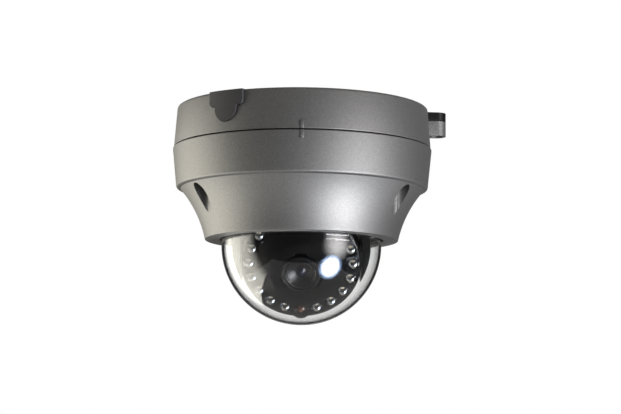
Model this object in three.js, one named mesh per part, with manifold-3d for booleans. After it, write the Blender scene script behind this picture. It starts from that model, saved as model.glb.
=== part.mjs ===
// A surface-mounted dome camera with an infrared ring, hanging dome-down from a ceiling.
// Millimetres, +Z up. The origin is the centre of the mounting plate's ceiling face,
// and -Y is the front, where the lens looks. Bearings are in degrees from -Y towards +X.
import * as THREE from "three";
import { mergeVertices } from "three/addons/utils/BufferGeometryUtils.js";
import Module from "manifold-3d";

const wasm = await Module();
wasm.setup();

// ---------- driving dimensions ----------
const GAP = 0.3; // air left between pieces that touch
const SEAM_Z = -22.8; // the joint line between base and cover
const SEAM_GAP = 0.7;
const RIB = { width: 2.0, proud: 0.45, aboveSeam: 4.6, belowSeam: 4.9 }; // alignment mark at the front
const BASE_TOP_R = 70.35;
const BASE_LOW_R = 72.0;
const COVER_R = 72.5;
const COVER_BAND_LOW_R = 70.45;
const COVER_BOTTOM_Z = -74.15;
const LIP_R = 45.7; // the opening that the dome comes out of
const LIP_TOP_Z = -72.4;
const BACK_WALL = { top: -17.6, bottom: -20.2, innerR: 67 };

const DOME = { z: -76.6, outerR: 44.6, innerR: 43.3, flangeR: 51.0, flangeTop: -69.4, flangeLow: -71.1 };
const PIVOT_Z = DOME.z; // pan, tilt and roll axes cross at the dome's centre
const TILT = 33; // degrees below the horizon that the lens looks at rest

const COVER_SCREW = { bearings: [-60, 60, 180], r: 62.3, pocketR: 4.9, ceilingZ: -38 };
const CLAMP_SCREW = { bearings: [0, 120, 240], r: 53.3, topZ: -58.3 };
const STANDOFF = { bearings: [0, 120, 240], r: 46 };
const BAYONET = { bearings: [30, 150, 270], width: 12 };
const EAR = { bearing: 97, r: 76.3, endR: 5.4, plateT: 4.7, bottomZ: -13.2 };
const SIDE_PORT = { bearing: -35, wide: 21.8, wideZ: -8.3, narrow: 13.8, lowZ: -16.85, cornerR: 1.9 };
const CABLE_HOLE = { y: 26, plateR: 13, wallR: 8 };

const BALL_R = 38.8; // the outer faces of the yoke's arms lie on a ball of this radius
const ARM_X = 33; // inner faces of the yoke's arms
const YOKE_TOP = { low: -42.4, high: -39.9 };
const LED = { count: 20, ringR: 28.3, r: 2.7, holeR: 3.3, baseH: 18.2, tipH: 25.0 };
const BEZEL = { r: 32.7, coneR: 24.65, frontH: 23.4, backH: 21.4, skirtH: 16.3, skirtInnerR: 31.9 };
const SENSOR_HOLE_R = 4.1;
const SENSOR_BUMP_R = 5.4;
const HOOD = { r: 17.4, frontH: 34.1, openR: 11.0 };
const FOCUS = { r: 10.4, innerR: 9.2, frontH: 35.7, backH: 27.9 };
const GLASS_R = 5.8;

const ROUND = 60; // segments of a large circle
const SMALL = 14; // segments of a screw or a pin

// ---------- materials ----------
const finish = (color, roughness, metalness, extra = {}) =>
  new THREE.MeshStandardMaterial({ color, roughness, metalness, ...extra });
const housingPaint = finish(0x8b8780, 0.45, 0.7);
const blackPlastic = finish(0x1c1d1f, 0.5, 0);
const softBlack = finish(0x141414, 0.75, 0);
const clearDome = finish(0xf2f5f5, 0.05, 0, { transparent: true, opacity: 0.25 });
const steel = finish(0xb9bbbd, 0.3, 1);
const zincSheet = finish(0x9ea1a3, 0.4, 0.9);
const circuitBoard = finish(0x1d4a31, 0.5, 0);
const ledResin = finish(0xdfe6ea, 0.08, 0, { transparent: true, opacity: 0.5 });
const lensCoating = finish(0x1a1430, 0.03, 0);
const sensorAmber = finish(0x6b3a22, 0.2, 0);
const terminalGreen = finish(0x2c7a45, 0.5, 0);

// ---------- solids ----------
const rad = THREE.MathUtils.degToRad;

// A closed geometry as a manifold-3d solid whose faces point out.
function solid(geometry) {
  const bare = geometry.index ? geometry.toNonIndexed() : geometry;
  const points = new THREE.BufferGeometry().setAttribute("position", bare.getAttribute("position"));
  const merged = mergeVertices(points, 1e-4);
  const vertProperties = new Float32Array(merged.attributes.position.array);
  const triVerts = new Uint32Array(merged.index.array);
  const made = new wasm.Manifold(new wasm.Mesh({ numProp: 3, vertProperties, triVerts }));
  if (made.volume() > 0) return made;
  for (let i = 0; i < triVerts.length; i += 3)
    [triVerts[i + 1], triVerts[i + 2]] = [triVerts[i + 2], triVerts[i + 1]];
  return new wasm.Manifold(new wasm.Mesh({ numProp: 3, vertProperties, triVerts }));
}

// A manifold-3d solid as a geometry for a mesh.
function geometryOf(body) {
  const mesh = body.getMesh();
  const positions = new Float32Array(mesh.numVert * 3);
  for (let i = 0; i < mesh.numVert; i++)
    positions.set(mesh.vertProperties.subarray(i * mesh.numProp, i * mesh.numProp + 3), i * 3);
  const geometry = new THREE.BufferGeometry();
  geometry.setAttribute("position", new THREE.BufferAttribute(positions, 3));
  geometry.setIndex(new THREE.BufferAttribute(new Uint32Array(mesh.triVerts), 1));
  geometry.computeVertexNormals();
  return geometry;
}

const join = (first, ...others) => others.reduce((all, body) => all.add(body), first);
const cut = (first, ...others) => others.reduce((all, body) => all.subtract(body), first);

// A profile of [radius, height] points turned about +Z. It starts and ends on the axis or closes on itself.
function turned(profile, segments = ROUND) {
  const closed = profile[0][0] > 0 || profile.at(-1)[0] > 0 ? [...profile, profile[0]] : profile;
  const points = closed.map(([r, z]) => new THREE.Vector2(r, z));
  return solid(new THREE.LatheGeometry(points, segments).rotateX(Math.PI / 2));
}

// The same, turned about the optical axis: [radius, distance in front of the pivot], with the front at -Y.
function turnedOptical(profile, segments = ROUND) {
  return turned(profile, segments).rotate([90, 0, 0]);
}

const ring = (r0, r1, z0, z1, segments) =>
  turned([[r0, z0], [r1, z0], [r1, z1], [r0, z1]], segments);
const opticalRing = (r0, r1, h0, h1, segments) =>
  turnedOptical([[r0, h0], [r1, h0], [r1, h1], [r0, h1]], segments);

function cylinder(r, z0, z1, x = 0, y = 0, segments = SMALL) {
  const shape = new THREE.CylinderGeometry(r, r, z1 - z0, segments).rotateX(Math.PI / 2);
  return solid(shape.translate(x, y, (z0 + z1) / 2));
}

function box(x0, x1, y0, y1, z0, z1) {
  const shape = new THREE.BoxGeometry(x1 - x0, y1 - y0, z1 - z0);
  return solid(shape.translate((x0 + x1) / 2, (y0 + y1) / 2, (z0 + z1) / 2));
}

// A body drawn at the front, in the -Y direction, swung round to a bearing.
const swung = (body, bearing) => body.rotate([0, 0, bearing]);
const atBearing = (bearing, r) => [r * Math.sin(rad(bearing)), -r * Math.cos(rad(bearing))];
const post = (bearing, r, radius, z0, z1, segments) =>
  cylinder(radius, z0, z1, ...atBearing(bearing, r), segments);

// Points along an arc from one point to another that bulges by `sag` to the left of the way it goes.
function arc(from, to, sag, steps) {
  const a = new THREE.Vector2(...from);
  const b = new THREE.Vector2(...to);
  const chord = b.clone().sub(a);
  const half = chord.length() / 2;
  const radius = (half * half + sag * sag) / (2 * Math.abs(sag));
  const left = new THREE.Vector2(-chord.y, chord.x).normalize().multiplyScalar(Math.sign(sag));
  const centre = a.clone().add(b).multiplyScalar(0.5).addScaledVector(left, Math.abs(sag) - radius);
  const start = a.clone().sub(centre).angle();
  let sweep = b.clone().sub(centre).angle() - start;
  if (sweep > Math.PI) sweep -= 2 * Math.PI;
  if (sweep < -Math.PI) sweep += 2 * Math.PI;
  return Array.from({ length: steps + 1 }, (_, i) => {
    const angle = start + (sweep * i) / steps;
    return [centre.x + radius * Math.cos(angle), centre.y + radius * Math.sin(angle)];
  });
}

// ---------- the scene graph ----------
const camera = new THREE.Group();
const gimbal = new THREE.Group(); // its origin is where the three aiming axes cross
gimbal.position.z = PIVOT_Z;
const module = new THREE.Group(); // -Y of this group is the way the lens looks
module.rotation.x = rad(TILT);
gimbal.add(module);
camera.add(gimbal);

function place(group, name, body, material) {
  const mesh = new THREE.Mesh(geometryOf(body), material);
  mesh.name = name;
  group.add(mesh);
  return mesh;
}

// ---------- base and its mounting plate ----------
const SEAM_TOP = SEAM_Z + SEAM_GAP / 2;
const SEAM_LOW = SEAM_Z - SEAM_GAP / 2;

// Half of the upright mark that shows how the cover lines up with the base.
function frontRib(surfaceR, z0, z1) {
  return box(-RIB.width / 2, RIB.width / 2, -surfaceR - RIB.proud, -surfaceR + 1.5, z0, z1);
}

// The T-shaped side port, drawn on the front and swung to its bearing; grow widens it all round.
function portPrism(grow, depth0, depth1) {
  const wide = SIDE_PORT.wide / 2 + grow;
  const narrow = SIDE_PORT.narrow / 2 + grow;
  const shoulder = SIDE_PORT.wideZ - grow;
  const centreZ = SIDE_PORT.lowZ + SIDE_PORT.narrow / 2;
  const shape = new THREE.Shape();
  const corner = SIDE_PORT.cornerR;
  shape.moveTo(-wide, 1);
  shape.lineTo(-wide, shoulder + corner);
  shape.lineTo(-wide + corner, shoulder);
  shape.lineTo(-narrow, shoulder);
  shape.absarc(0, centreZ, narrow, Math.PI, 2 * Math.PI, false);
  shape.lineTo(narrow, shoulder);
  shape.lineTo(wide - corner, shoulder);
  shape.lineTo(wide, shoulder + corner);
  shape.lineTo(wide, 1);
  const extruded = new THREE.ExtrudeGeometry(shape, {
    depth: depth1 - depth0,
    bevelEnabled: false,
    curveSegments: 10,
  });
  // The shape's y becomes height, and its depth runs outwards from the axis.
  return swung(solid(extruded.rotateX(Math.PI / 2).translate(0, -depth0, 0)), SIDE_PORT.bearing);
}

// A lug with a round end that stands out of the wall at the front, swung to the ear's bearing.
function earBlock(fromR, endR, z0, z1) {
  const bar = box(-endR, endR, -EAR.r, -fromR, z0, z1);
  return swung(join(bar, cylinder(endR, z0, z1, 0, -EAR.r, 20)), EAR.bearing);
}
const earPost = (radius, z0, z1) => post(EAR.bearing, EAR.r, radius, z0, z1);

function baseCase() {
  const shell = turned([
    [0, BACK_WALL.top],
    [BACK_WALL.innerR, BACK_WALL.top],
    [BACK_WALL.innerR, 0],
    [BASE_TOP_R - 1.8, 0],
    [BASE_TOP_R - 0.5, -0.5],
    [BASE_TOP_R, -1.8],
    [BASE_LOW_R, SEAM_TOP],
    [68.9, SEAM_TOP],
    [68.9, -27],
    [66.2, -27],
    [66.2, BACK_WALL.bottom],
    [0, BACK_WALL.bottom],
  ]);
  const rib = frontRib(BASE_LOW_R - 0.2, SEAM_TOP, SEAM_Z + RIB.aboveSeam);
  const hooks = BAYONET.bearings.map((bearing) =>
    swung(box(-BAYONET.width / 2, BAYONET.width / 2, -68, -62.6, -1.8, -0.15), bearing));
  const screwBosses = COVER_SCREW.bearings.map((bearing) =>
    post(bearing, COVER_SCREW.r, 5.5, -32.6, BACK_WALL.bottom + 1));
  const screwHoles = COVER_SCREW.bearings.map((bearing) =>
    post(bearing, COVER_SCREW.r, 2.3, -33, -21.5));
  return cut(
    join(shell, rib, ...hooks, ...screwBosses, earBlock(69, EAR.endR, EAR.bottomZ, -EAR.plateT - GAP)),
    portPrism(GAP, 60, 80),
    earBlock(60, EAR.endR + GAP, -EAR.plateT - GAP, 1),
    earPost(3.8, EAR.bottomZ - 1, -7.5),
    earPost(2.3, -8, 0),
    cylinder(CABLE_HOLE.wallR, -21, -16, 0, CABLE_HOLE.y, 28),
    ...screwHoles,
  );
}

function mountPlate() {
  const tabs = BAYONET.bearings.map((bearing) =>
    swung(box(-BAYONET.width / 2, BAYONET.width / 2, -66.3, -56, -4.8, -2.1), bearing));
  const slots = [45, 165, 285].map((bearing) => swung(box(-2.6, 2.6, -50, -38, -6, 1), bearing));
  return cut(
    join(cylinder(60, -3, 0, 0, 0, ROUND), ...tabs, earBlock(50, EAR.endR, -EAR.plateT, 0)),
    cylinder(CABLE_HOLE.plateR, -6, 1, 0, CABLE_HOLE.y, 28),
    earPost(2.0, -6, -1.2),
    ...slots,
  );
}

// A T-shaped plug: a web that fills the port, and a wider flange behind the wall that holds it in.
function conduitCap() {
  const web = portPrism(0, 62, 80).intersect(ring(66.0, BASE_LOW_R + 0.1, -20, -0.1, 120));
  const flange = portPrism(1.6, 55, 80).intersect(ring(64.6, 66.6, BACK_WALL.top + GAP, -0.1, 120));
  return join(web, flange);
}

const screw = (headR, headH, shankR, length) =>
  join(cylinder(headR, 0, headH), cylinder(shankR, headH - 0.1, headH + length));

place(camera, "base_case", baseCase(), housingPaint);
place(camera, "mount_plate", mountPlate(), blackPlastic);
place(camera, "conduit_cap", conduitCap(), softBlack);
const lockScrew = cut(screw(3.4, 2.4, 1.7, 6), cylinder(1.7, -1, 1.2, 0, 0, 6));
place(camera, "lock_screw", lockScrew, steel).position.set(...atBearing(EAR.bearing, EAR.r), -10.3);
place(camera, "base_seal", ring(69.2, 70.4, -25.4, SEAM_TOP - GAP), softBlack);
place(camera, "cable_grommet", cut(
  join(
    cylinder(10.5, BACK_WALL.top + GAP, -15.2, 0, 0, 28),
    cylinder(7.6, -21, -16, 0, 0, 28),
    cylinder(10.5, -21.8, BACK_WALL.bottom - GAP, 0, 0, 28),
  ),
  cylinder(3.2, -30, -10),
), softBlack).position.y = CABLE_HOLE.y;

// ---------- boards and chassis under the back wall ----------
const standoffHoles = (r, z0, z1) =>
  STANDOFF.bearings.map((bearing) => post(bearing, STANDOFF.r, r, z0, z1));
STANDOFF.bearings.forEach((bearing, i) => {
  const hex = cylinder(3, -33.7, BACK_WALL.bottom - GAP, 0, 0, 6);
  const mesh = place(camera, `standoff_${i + 1}`, hex, steel);
  mesh.position.set(...atBearing(bearing, STANDOFF.r), 0);
});
place(camera, "power_board", cut(
  cylinder(53.5, -28.6, -27, 0, 0, 48),
  cylinder(12, -30, -26, 0, CABLE_HOLE.y, 24),
  ...standoffHoles(3.4, -30, -26),
), circuitBoard);
place(camera, "terminal_block", box(-27, -11, 12, 21, -26.7, -20.5), terminalGreen);
place(camera, "chassis_plate", cut(
  cylinder(52, -35.6, -34, 0, 0, 48),
  cylinder(10, -37, -33, 0, 0, 24),
  ...[60, 180, 300].map((bearing) => post(bearing, 38, 8.5, -37, -33, 20)),
), zincSheet);

// ---------- pan bearing ----------
place(camera, "pan_base", ring(13.9, 32, -39.6, -35.9, 48), blackPlastic);
place(camera, "pan_retainer", turned([
  [10, -43.9], [17, -43.9], [17, YOKE_TOP.low - GAP], [13.5, YOKE_TOP.low - GAP],
  [13.5, -35.9], [10, -35.9],
], 32), zincSheet);

// ---------- cover, dome and what holds the dome ----------
// A band, a step under it, a hollow funnel and the lip round the dome.
const coverOutside = [
  [72.2, SEAM_LOW],
  [COVER_R, -23.5],
  [COVER_BAND_LOW_R, -44.2],
  [69.4, -45.35],
  ...arc([67.9, -45.75], [54.1, -73.35], -1.9, 7),
  [53.2, COVER_BOTTOM_Z],
];
const coverInside = [
  [LIP_R, COVER_BOTTOM_Z],
  [LIP_R, LIP_TOP_Z],
  [51.4, LIP_TOP_Z],
  ...arc([51.6, -71.9], [64.0, -46.6], 1.7, 3),
  [67.6, -42.6],
  [69.4, -25.8],
  [70.7, -25.8],
  [70.7, SEAM_LOW],
];

function coverShell() {
  const envelope = turned([[0, SEAM_LOW], ...coverOutside, [0, COVER_BOTTOM_Z]]);
  const shell = turned([...coverOutside, ...coverInside]);
  const rib = frontRib(COVER_R - 0.2, SEAM_Z - RIB.belowSeam, SEAM_LOW);
  const pocketWalls = COVER_SCREW.bearings.map((bearing) =>
    post(bearing, COVER_SCREW.r, 7.4, -70, -33, 20).intersect(envelope));
  const clampPosts = CLAMP_SCREW.bearings.map((bearing) =>
    post(bearing, CLAMP_SCREW.r, 3.0, -68.6, CLAMP_SCREW.topZ).intersect(envelope));
  return cut(
    join(shell, rib, ...pocketWalls, ...clampPosts),
    ...COVER_SCREW.bearings.map((bearing) =>
      post(bearing, COVER_SCREW.r, COVER_SCREW.pocketR, -90, COVER_SCREW.ceilingZ, 24)),
    ...COVER_SCREW.bearings.map((bearing) => post(bearing, COVER_SCREW.r, 2.4, -39, -32)),
    ...CLAMP_SCREW.bearings.map((bearing) =>
      post(bearing, CLAMP_SCREW.r, 1.5, CLAMP_SCREW.topZ - 7, -57, 10)),
  );
}

function dome() {
  const { z, outerR, innerR, flangeR, flangeTop, flangeLow } = DOME;
  const quarter = (r, steps) => Array.from({ length: steps + 1 }, (_, i) => {
    const angle = (Math.PI / 2) * (i / steps);
    return [r * Math.cos(angle), z - r * Math.sin(angle)];
  });
  const outside = quarter(outerR, 11);
  const inside = quarter(innerR, 9).reverse();
  outside.at(-1)[0] = 0;
  inside[0][0] = 0;
  return turned([
    ...inside,
    [innerR, flangeTop],
    [flangeR, flangeTop],
    [flangeR, flangeLow],
    [outerR, flangeLow],
    ...outside,
  ], 48);
}

// A ring that presses on the dome's flange, with three ears for its screws and a tall black wall
// that hides the boards.
function domeClamp() {
  const wall = turned([
    [43.0, -69.1], [49.9, -69.1], [49.9, -56.0], [45.0, -56.0], [44.8, -48.0],
    [43.2, -48.0], [43.2, -58.0], [48.0, -58.0], [48.0, -67.0], [43.0, -67.0],
  ], 48);
  const ears = CLAMP_SCREW.bearings.map((bearing) =>
    swung(box(-4, 4, -55.9, -49, CLAMP_SCREW.topZ + GAP, -56.0), bearing));
  const holes = CLAMP_SCREW.bearings.map((bearing) => post(bearing, CLAMP_SCREW.r, 1.8, -60, -54, 10));
  return cut(join(wall, ...ears), ...holes);
}

place(camera, "cover_shell", coverShell(), housingPaint);
place(camera, "dome", dome(), clearDome);
const gasket = ring(LIP_R + 0.2, DOME.flangeR, LIP_TOP_Z + GAP, DOME.flangeLow - GAP, 48);
place(camera, "dome_gasket", gasket, softBlack);
place(camera, "dome_clamp", domeClamp(), blackPlastic);
CLAMP_SCREW.bearings.forEach((bearing, i) => {
  const clampScrew = screw(2.7, 1.6, 1.2, 6.5).rotate([180, 0, 0]);
  const mesh = place(camera, `clamp_screw_${i + 1}`, clampScrew, steel);
  mesh.position.set(...atBearing(bearing, CLAMP_SCREW.r), -54.1);
});
COVER_SCREW.bearings.forEach((bearing, i) => {
  const socket = cylinder(1.7, -1, 1.5, 0, 0, 6);
  const coverScrew = cut(screw(3.7, 3.2, 2.0, 14), socket);
  const mesh = place(camera, `cover_screw_${i + 1}`, coverScrew, steel);
  mesh.position.set(...atBearing(bearing, COVER_SCREW.r), COVER_SCREW.ceilingZ - 3.5);
});

// ---------- pan yoke ----------
// Two arms hang from a round plate. Their ends are caps of the ball that the aiming parts fit in.
function panYoke() {
  const top = YOKE_TOP.high - PIVOT_Z;
  const low = YOKE_TOP.low - PIVOT_Z;
  const ball = solid(new THREE.SphereGeometry(BALL_R, 36, 20).rotateZ(Math.PI / 2));
  const plate = ring(14, 36.5, low, top, 48);
  const sides = [-1, 1].flatMap((side) => {
    const span = (a, b) => (side < 0 ? [-b, -a] : [a, b]);
    const cap = ball.intersect(box(...span(ARM_X, 60), -25, 25, -25, 25));
    const arm = box(...span(ARM_X, 36.4), -12, 12, 0, top);
    return [cap, arm];
  });
  const across = (r, x0, x1) => cylinder(r, x0, x1).rotate([0, 90, 0]);
  return cut(
    join(plate, ...sides),
    across(2.6, -50, 50),
    across(5.0, 36.9, 50),
    across(5.0, -50, -36.9),
  );
}
place(gimbal, "pan_yoke", panYoke(), blackPlastic);

// ---------- tilt frame and its two pivot screws ----------
const sideways = (body, side) => body.rotate([0, 90 * side, 0]);
function tiltFrame() {
  const hoop = opticalRing(27.4, 32.0, -4, 4, 40);
  const bosses = [-1, 1].map((side) => sideways(cylinder(3.9, 29.5, ARM_X - GAP), side));
  const pivotHoles = [-1, 1].map((side) => sideways(cylinder(2.5, 20, 40), side));
  const bore = opticalRing(0, 27.4, -10, 10, 40);
  return cut(join(hoop, ...bosses), bore, ...pivotHoles);
}
place(module, "tilt_frame", tiltFrame(), blackPlastic);
for (const [name, side] of [["tilt_screw_left", -1], ["tilt_screw_right", 1]]) {
  // The head lies in the arm's recess, and the shank reaches in to the hoop.
  const body = join(cylinder(4.3, 37.2, 38.6), cylinder(2.2, 28.5, 37.3));
  const slot = box(-0.5, 0.5, -5, 5, 38.0, 40);
  place(module, name, sideways(cut(body, slot), side), steel);
}

// ---------- camera module: turns in the tilt frame about the optical axis ----------
const onRing = (k) => (360 / LED.count) * k; // bearing of an LED position from straight down
const alongAxis = (r, h0, h1, x = 0, z = 0, segments = SMALL) =>
  cylinder(r, h0, h1, x, z, segments).rotate([90, 0, 0]);
const onLedRing = (k, r, h0, h1, segments) => {
  const angle = rad(onRing(k));
  return alongAxis(r, h0, h1, LED.ringR * Math.sin(angle), -LED.ringR * Math.cos(angle), segments);
};

place(module, "module_shell", turnedOptical([
  [25.4, -8], [27.0, -8], [27.0, 4.4], [29.5, 4.4], [31.6, 7], [31.6, 16.0], [29.5, 16.0],
  [29.5, 8], [25.4, 6], [25.4, 2.3], [20.0, 2.3], [20.0, 0.3], [25.4, 0.3],
], 40), blackPlastic);
place(module, "rear_cover", turnedOptical([
  [0, -18], [18, -18], [24, -15.5], [30, -8.5], [30, -4.4], [27.4, -4.4], [27.4, -8.4], [22.6, -13.4],
  [17.4, -15.8], [0, -15.8],
], 40), blackPlastic);

// One moulding: a skirt, a flat ring with a hole for each LED, and a raised cone round the lens
// with three catch slots in its opening.
function frontBezel() {
  const { r, coneR, frontH, backH, skirtH, skirtInnerR } = BEZEL;
  const shell = turnedOptical([
    [r, skirtH], [r, frontH - 1.0], [r - 0.7, frontH], [coneR, 24.6],
    [HOOD.r + 0.3, HOOD.frontH - 0.4], [HOOD.r - 0.3, HOOD.frontH],
    [HOOD.openR, HOOD.frontH + 0.4], [HOOD.openR, HOOD.frontH - 2.2], [HOOD.r - 2.9, HOOD.frontH - 2.4],
    [coneR - 2.2, backH], [skirtInnerR, backH], [skirtInnerR, skirtH],
  ], 40);
  const bump = onLedRing(0, SENSOR_BUMP_R, backH, frontH, 20).subtract(opticalRing(0, 20, 0, 40, 20));
  const ledHoles = Array.from({ length: LED.count - 1 }, (_, i) =>
    onLedRing(i + 1, LED.holeR, backH - 1, frontH + 4, 12));
  const slots = [0, 120, 240].map((turn) =>
    box(-3.3, 3.3, -40, -30, HOOD.openR - 0.5, HOOD.openR + 1.1).rotate([0, turn, 0]));
  return cut(join(shell, bump), ...ledHoles, onLedRing(0, SENSOR_HOLE_R, backH - 1, frontH + 4, 16), ...slots);
}
place(module, "front_bezel", frontBezel(), blackPlastic);

place(module, "led_board", opticalRing(12.5, 31.0, 16.3, 17.9, 40), circuitBoard);

const ledBody = [
  [0, LED.baseH], [LED.r, LED.baseH], [LED.r, 22.9], [LED.r * 0.86, 24.1], [LED.r * 0.5, 24.8], [0, LED.tipH],
];
for (let k = 1; k < LED.count; k++) {
  const led = place(module, `ir_led_${String(k).padStart(2, "0")}`, turnedOptical(ledBody, 10), ledResin);
  const angle = rad(onRing(k));
  led.position.set(LED.ringR * Math.sin(angle), 0, -LED.ringR * Math.cos(angle));
}
place(module, "light_sensor", turnedOptical([
  [0, LED.baseH], [LED.r, LED.baseH], [LED.r, 21.2], [3.7, 21.2], [3.7, 23.0], [2.9, 23.0],
  [2.9, 22.4], [0, 22.9],
], 16), sensorAmber).position.z = -LED.ringR;

// ---------- lens and image sensor ----------
place(module, "lens_mount", turnedOptical([
  [8.2, 0.3], [13.5, 0.3], [13.5, 3.2], [10.6, 3.2], [10.6, 12], [8.2, 12],
], 32), blackPlastic);
place(module, "lens_barrel", turnedOptical([
  [0, 6], [7.9, 6], [7.9, 12.4], [11.6, 12.4], [11.6, 27.6], [8.9, 27.6], [8.9, 34.9], [8.3, 34.9],
  [GLASS_R + GAP, 32.4], [GLASS_R + GAP, 30.6], [0, 30.6],
], 36), blackPlastic);
place(module, "lens_glass", turnedOptical([
  [0, 30.9], [GLASS_R, 30.9], [GLASS_R, 32.0], [4.6, 32.9], [2.5, 33.5], [0, 33.7],
], 32), lensCoating);
place(module, "focus_ring", turnedOptical([
  [FOCUS.innerR, FOCUS.backH], [FOCUS.r, FOCUS.backH], [FOCUS.r, FOCUS.frontH - 0.3],
  [FOCUS.r - 0.3, FOCUS.frontH], [FOCUS.innerR, FOCUS.frontH],
], 40), blackPlastic);
place(module, "sensor_board", box(-16, 16, 0.0, 1.6, -16, 16), circuitBoard);
place(module, "image_sensor", box(-4.5, 4.5, -1.9, -0.3, -3.6, 3.6), blackPlastic);

export default camera;
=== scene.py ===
"""The looks of a dome camera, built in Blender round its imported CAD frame.

Shapes are written in millimetres and turned into metres by the mesh helpers. The frame is the
CAD's own: the origin is the centre of the ceiling face, +Z is up and -Y is the front. The camera
module is written in its own frame, with the optical axis along +Z, and carried to its place.
"""

import math

import bmesh
import bpy
from mathutils import Matrix, Vector


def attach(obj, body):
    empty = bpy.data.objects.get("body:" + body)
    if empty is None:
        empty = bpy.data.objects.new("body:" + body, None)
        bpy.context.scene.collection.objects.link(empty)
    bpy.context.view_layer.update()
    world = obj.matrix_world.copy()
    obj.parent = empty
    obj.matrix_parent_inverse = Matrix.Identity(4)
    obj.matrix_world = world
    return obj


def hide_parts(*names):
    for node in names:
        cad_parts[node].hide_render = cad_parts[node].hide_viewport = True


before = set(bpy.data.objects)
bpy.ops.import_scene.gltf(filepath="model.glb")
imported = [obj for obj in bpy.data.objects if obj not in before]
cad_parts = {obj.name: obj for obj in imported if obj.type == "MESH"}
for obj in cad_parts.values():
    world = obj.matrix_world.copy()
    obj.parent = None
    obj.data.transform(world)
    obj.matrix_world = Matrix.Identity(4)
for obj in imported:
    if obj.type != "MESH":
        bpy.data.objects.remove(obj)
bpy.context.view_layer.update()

# ---------- driving dimensions, as the CAD has them ----------
MM = 0.001
PIVOT_Z = -76.6
TILT = 33.0
SEAM_TOP, SEAM_LOW = -22.45, -23.15
BASE_TOP_R, BASE_LOW_R = 70.35, 72.0
COVER_R, BAND_LOW_R = 72.5, 70.45
COVER_BOTTOM, LIP_TOP = -74.15, -72.4
LIP_R = 45.7
DOME_OUT, DOME_IN = 44.6, 43.3
SCREW_BEARINGS, SCREW_R, POCKET_R = (-60, 60, 180), 62.3, 4.9
CLAMP_BEARINGS, CLAMP_R = (0, 120, 240), 53.3
STANDOFF_BEARINGS, STANDOFF_R = (0, 120, 240), 46
EAR_BEARING, EAR_R, EAR_END = 97, 76.3, 5.4
PORT_BEARING, PORT_WIDE, PORT_WIDE_Z, PORT_NARROW, PORT_LOW = -35, 21.8, -8.3, 13.8, -16.85
WALL_TOP, WALL_LOW = -17.6, -20.2  # the base's back wall
LED_COUNT, LED_RING = 20, 28.3
BEZEL_R, BEZEL_BACK, BEZEL_SKIRT = 32.7, 21.4, 16.3
YOKE_BALL_R = 38.8
GLASS_R, GLASS_TOP, GLASS_CROWN = 2.8, 32.3, 1.2

FINE = 256  # segments of a large turned shape
MEDIUM = 128
SMALL = 48

optical = (
    Matrix.Translation((0, 0, PIVOT_Z))
    @ Matrix.Rotation(math.radians(TILT), 4, "X")
    @ Matrix.Rotation(math.radians(90), 4, "X")
)


# ---------- materials ----------
def new_material(name, **values):
    material = bpy.data.materials.new(name)
    material.use_nodes = True
    shader = material.node_tree.nodes["Principled BSDF"]
    for socket, value in values.items():
        shader.inputs[socket.replace("_", " ")].default_value = value
    return material, material.node_tree, shader


def texture(tree, kind, scale, **values):
    """A texture node that reads object coordinates, so that its scale is per metre."""
    place = tree.nodes.new("ShaderNodeTexCoord")
    node = tree.nodes.new(kind)
    node.inputs["Scale"].default_value = scale
    for socket, value in values.items():
        node.inputs[socket].default_value = value
    tree.links.new(place.outputs["Object"], node.inputs["Vector"])
    return node


def ramp(tree, source, stops, output="Fac"):
    node = tree.nodes.new("ShaderNodeValToRGB")
    elements = node.color_ramp.elements
    while len(elements) < len(stops):
        elements.new(0.5)
    for element, (position, colour) in zip(elements, stops):
        element.position = position
        element.color = (*colour, 1)
    tree.links.new(source.outputs[output], node.inputs["Fac"])
    return node


def remap(tree, source, low, high, output="Fac", start=0.0, end=1.0):
    """Carries a value between start and end over to between low and high."""
    node = tree.nodes.new("ShaderNodeMapRange")
    node.inputs["From Min"].default_value = start
    node.inputs["From Max"].default_value = end
    node.inputs["To Min"].default_value = low
    node.inputs["To Max"].default_value = high
    tree.links.new(source.outputs[output], node.inputs["Value"])
    return node


def bump(tree, shader, source, strength, distance_mm, output="Fac"):
    node = tree.nodes.new("ShaderNodeBump")
    node.inputs["Strength"].default_value = strength
    node.inputs["Distance"].default_value = distance_mm * MM
    tree.links.new(source.outputs[output], node.inputs["Height"])
    tree.links.new(node.outputs["Normal"], shader.inputs["Normal"])
    return node


def metallic_paint():
    """Champagne-grey metallic lacquer: fine bright flakes in a satin coat."""
    material, tree, shader = new_material("champagne_metallic_paint", Metallic=0.9)
    flakes = texture(tree, "ShaderNodeTexVoronoi", 2300)
    tone = ramp(
        tree,
        flakes,
        [(0.0, (0.16, 0.158, 0.153)), (0.55, (0.18, 0.178, 0.173)), (1.0, (0.22, 0.217, 0.212))],
        output="Color",
    )
    tree.links.new(tone.outputs["Color"], shader.inputs["Base Color"])
    rough = remap(tree, texture(tree, "ShaderNodeTexNoise", 900, Detail=3.0), 0.50, 0.58)
    tree.links.new(rough.outputs["Result"], shader.inputs["Roughness"])
    bump(tree, shader, texture(tree, "ShaderNodeTexNoise", 1600, Detail=2.0), 0.22, 0.05)
    return material


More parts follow.
